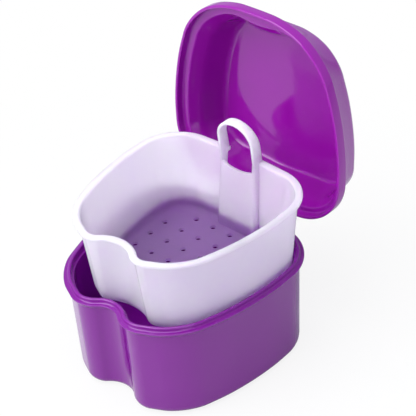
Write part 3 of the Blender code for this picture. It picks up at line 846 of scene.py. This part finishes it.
def basket_section():
    """The basket's section from the underside over the lip to the inside floor."""
    foot = basket_wall_inset(BASKET_BOTTOM)
    floor = BASKET_BOTTOM + BASKET_FLOOR
    inner_foot = basket_wall_inset(floor) + BASKET_WALL
    inner_wall = BASKET_WALL_INSET + BASKET_WALL
    return eased((
        basket_corner(0.0, foot + 2 * BASKET_FOOT_RADIUS, BASKET_BOTTOM),
        basket_corner(BASKET_FOOT_RADIUS, foot, BASKET_BOTTOM),
        basket_corner(LIP_ROOT, BASKET_WALL_INSET, LIP_BASE),
        basket_corner(LIP_ROUND, LIP_INSET, LIP_BASE),
        basket_corner(LIP_ROUND, LIP_INSET, BASKET_TOP),
        basket_corner(LIP_INNER_ROUND, inner_wall, BASKET_TOP),
        basket_corner(LIP_ROOT, inner_wall, LIP_BASE),
        basket_corner(BASKET_INNER_RADIUS, inner_foot, floor),
        basket_corner(0.0, inner_foot + 2 * BASKET_INNER_RADIUS, floor),
    ), SECTION_STEPS)


def pilaster_front(height):
    """Place along Y of the pilaster's front face, parallel to the drafted wall."""
    return REAR - basket_wall_inset(height) - BASKET_WALL - PILASTER_REACH


def upright(low, high, wall, back):
    """A block up the back wall with rounded front corners, within the pilaster by a wall."""
    mesh = bmesh.new()
    half = PILASTER_HALF_WIDTH + PILASTER_FLARE * (BASKET_TOP - low) - wall
    front = pilaster_front(low) + wall
    places = ((-half, front), (half, front), (half, back), (-half, back))
    verts = [mesh.verts.new((x, y, low)) for x, y in places]
    mesh.faces.new(verts)
    for vert in verts[:2]:
        rounded(mesh, [vert], PILASTER_CORNER - wall / 2, PILASTER_SEGMENTS)
    rise = (0.0, pilaster_front(high) - pilaster_front(low), high - low)
    head = pulled(mesh, mesh.faces[:], rise)[0]
    narrowing = 1.0 - PILASTER_FLARE * (high - low) / half
    bmesh.ops.scale(mesh, vec=(narrowing, 1.0, 1.0), verts=head)
    bmesh.ops.recalc_face_normals(mesh, faces=mesh.faces)
    return mesh


def strap():
    """The handle: a flat strap with round edges that rises, turns an arch and comes down again."""
    mesh = bmesh.new()
    radius = PILASTER_HALF_WIDTH - STRAP / 2
    spring = BASKET_TOP + HANDLE_HEIGHT - STRAP / 2 - radius
    front = pilaster_front(BASKET_TOP)
    places = ((-STRAP / 2, 0.0), (STRAP / 2, 0.0), (STRAP / 2, STRAP_ROOT), (-STRAP / 2, STRAP_ROOT))
    verts = [mesh.verts.new((radius + x, front + y, LIP_BASE)) for x, y in places]
    mesh.faces.new(verts)
    rounded(mesh, verts, STRAP_ROUND, STRAP_SEGMENTS)
    rise = Vector((0.0, 0.0, spring - LIP_BASE))
    top = pulled(mesh, mesh.faces[:], rise)[1]
    turned = bmesh.ops.spin(mesh, geom=top, cent=(0.0, 0.0, spring), axis=(0.0, -1.0, 0.0),
                            dvec=(0.0, 0.0, 0.0), angle=math.pi, steps=ARCH_STEPS, use_merge=False,
                            use_duplicate=False)["geom_last"]
    bmesh.ops.delete(mesh, geom=top, context="FACES_ONLY")
    last = [item for item in turned if isinstance(item, bmesh.types.BMFace)]
    pulled(mesh, last, -rise)
    bmesh.ops.delete(mesh, geom=[face for face in last if face.is_valid], context="FACES_ONLY")
    for vert in mesh.verts:
        height = max(vert.co.z - BASKET_TOP, 0.0) / HANDLE_HEIGHT
        vert.co.y -= height * mixed(STRAP_LEAN_FRONT, STRAP_LEAN_REAR, (vert.co.y - front) / STRAP_ROOT)
    bmesh.ops.recalc_face_normals(mesh, faces=mesh.faces)
    return mesh


def window_cut():
    """What is cut away under the strap: straight sides and a dished sill across the panel."""
    mesh = bmesh.new()
    half = PILASTER_HALF_WIDTH - STRAP
    sill = BASKET_TOP - PANEL_DROP
    top = BASKET_TOP + SEAT_GAP
    front = pilaster_front(sill) - OVERRUN
    places = ((-half, top), (-half, sill), (0.0, sill - 2 * PANEL_DIP), (half, sill), (half, top))
    verts = [mesh.verts.new((x, front, z)) for x, z in places]
    mesh.faces.new(verts)
    rounded(mesh, [verts[2]], half * SILL_ROUND_SHARE, SILL_SEGMENTS)
    pulled(mesh, mesh.faces[:], (0.0, REAR - front, 0.0))
    bmesh.ops.recalc_face_normals(mesh, faces=mesh.faces)
    return mesh


def hole_cuts():
    """Round cuts for the drain holes, in rows that fit on the floor."""
    mesh = bmesh.new()
    for row, span in enumerate(HOLE_SPANS):
        for column in range(-span, span + 1):
            made = bmesh.ops.create_cone(mesh, cap_ends=True, segments=HOLE_SEGMENTS,
                                         radius1=HOLE_DIAMETER / 2, radius2=HOLE_DIAMETER / 2,
                                         depth=2 * OVERRUN)
            place = (column * HOLE_PITCH, HOLE_FIRST_ROW - row * HOLE_PITCH, BASKET_BOTTOM)
            bmesh.ops.translate(mesh, vec=place, verts=made["verts"])
    return mesh


def joined(item, mesh, operation):
    """Join a mesh to a piece, or cut it away."""
    tool = mesh_object("tool", mesh)
    change = item.modifiers.new(operation.lower(), "BOOLEAN")
    change.operation = operation
    change.solver = "EXACT"
    change.object = tool
    settle(item)
    bpy.data.objects.remove(tool)


def settle(item):
    """Make what a piece's modifiers do part of its mesh."""
    graph = bpy.context.evaluated_depsgraph_get()
    made = bpy.data.meshes.new_from_object(item.evaluated_get(graph))
    item.modifiers.clear()
    before = item.data
    made.name = before.name
    item.data = made
    bpy.data.meshes.remove(before)


def build_basket(material):
    """The basket, lifted: shell, pilaster and its channel, strap, window and drain holes."""
    mesh = bmesh.new()
    skin(mesh, basket_section())
    item = piece("basket_shell", mesh, material, "basket", "strainer_basket")
    floor = BASKET_BOTTOM + BASKET_FLOOR / 2
    back = REAR - basket_wall_inset(floor) - BASKET_WALL / 2
    channel = upright(BASKET_BOTTOM - OVERRUN, BASKET_TOP + SEAT_GAP, BASKET_WALL, REAR)
    joined(item, upright(floor, BASKET_TOP - CUT_CLEARANCE, 0.0, back), "UNION")
    joined(item, strap(), "UNION")
    joined(item, channel, "DIFFERENCE")
    joined(item, window_cut(), "DIFFERENCE")
    joined(item, hole_cuts(), "DIFFERENCE")
    item.data.transform(Matrix.Translation(LIFT))
    item.data.shade_smooth()
    item.data.set_sharp_from_angle(angle=BASKET_SHARP_ANGLE)


# Stage, lights and camera


def build_stage():
    """The floor under the case."""
    mesh = bmesh.new()
    bmesh.ops.create_grid(mesh, x_segments=FLOOR_CELLS, y_segments=FLOOR_CELLS, size=FLOOR_SIZE)
    floor = mesh_object("floor", mesh)
    floor.data.materials.append(backdrop_paper("white_paper"))


def background(tree, colour, strength):
    """A plain light of the world."""
    node = tree.nodes.new("ShaderNodeBackground")
    node.inputs["Color"].default_value = colour
    node.inputs["Strength"].default_value = strength
    return node.outputs[0]


def build_world():
    """White to the camera and through the frosted plastic, softer and cooler as light."""
    world = bpy.data.worlds.new("studio")
    bpy.context.scene.world = world
    world.use_nodes = True
    tree = world.node_tree
    tree.nodes.clear()
    mix = tree.nodes.new("ShaderNodeMixShader")
    tree.links.new(seen_directly(tree), mix.inputs[0])
    tree.links.new(background(tree, WORLD_COLOUR, WORLD_STRENGTH), mix.inputs[1])
    tree.links.new(background(tree, WHITE, 1.0), mix.inputs[2])
    out = tree.nodes.new("ShaderNodeOutputWorld")
    tree.links.new(mix.outputs[0], out.inputs["Surface"])


def softbox(name, place, width, height, power):
    """A soft rectangular lamp turned to the case."""
    lamp = bpy.data.lights.new(name, "AREA")
    lamp.shape = "RECTANGLE"
    lamp.size = width
    lamp.size_y = height
    lamp.energy = power
    item = placed(name, lamp)
    item.location = place
    item.rotation_euler = (Vector(LIT_POINT) - Vector(place)).to_track_quat("-Z", "Y").to_euler()


def build_camera():
    """Camera at the photograph's place."""
    right = Vector((math.cos(CAMERA_AZIMUTH), math.sin(CAMERA_AZIMUTH), 0.0))
    back = Vector((math.sin(CAMERA_AZIMUTH) * math.cos(CAMERA_ELEVATION),
                   -math.cos(CAMERA_AZIMUTH) * math.cos(CAMERA_ELEVATION), math.sin(CAMERA_ELEVATION)))
    up = back.cross(right)
    rolled_right = right * math.cos(CAMERA_ROLL) + up * math.sin(CAMERA_ROLL)
    rolled_up = up * math.cos(CAMERA_ROLL) - right * math.sin(CAMERA_ROLL)
    lens = bpy.data.cameras.new("photo_camera")
    lens.lens = CAMERA_LENS
    lens.sensor_width = SENSOR
    lens.clip_start = CAMERA_NEAR
    lens.clip_end = CAMERA_FAR
    camera = placed("photo_camera", lens)
    frame_axes = Matrix((rolled_right, rolled_up, back)).transposed().to_4x4()
    camera.matrix_world = Matrix.Translation(CAMERA_TARGET + back * CAMERA_DISTANCE) @ frame_axes
    bpy.context.scene.camera = camera


def main():
    """Dress the model, light it and set the camera."""
    tub_purple = glossy_plastic("tub_purple", TUB_COLOURS, TUB_ROUGHNESS)
    lid_purple = glossy_plastic("lid_purple", LID_COLOURS, LID_ROUGHNESS)
    # The frosted basket gets a painted purple glow of the tub near its floor
    frosted = frosted_plastic("frosted_lavender", BASKET_COLOURS, PAINTED_TUB_GLOW_COLOUR)
    build_tub(tub_purple)
    build_hinge_lugs(tub_purple)
    build_lid(lid_purple)
    build_clips(lid_purple)
    build_basket(frosted)
    build_stage()
    build_world()
    for facts in SOFTBOXES:
        softbox(*facts)
    build_camera()
    bpy.context.scene.view_settings.view_transform = "Standard"


main()
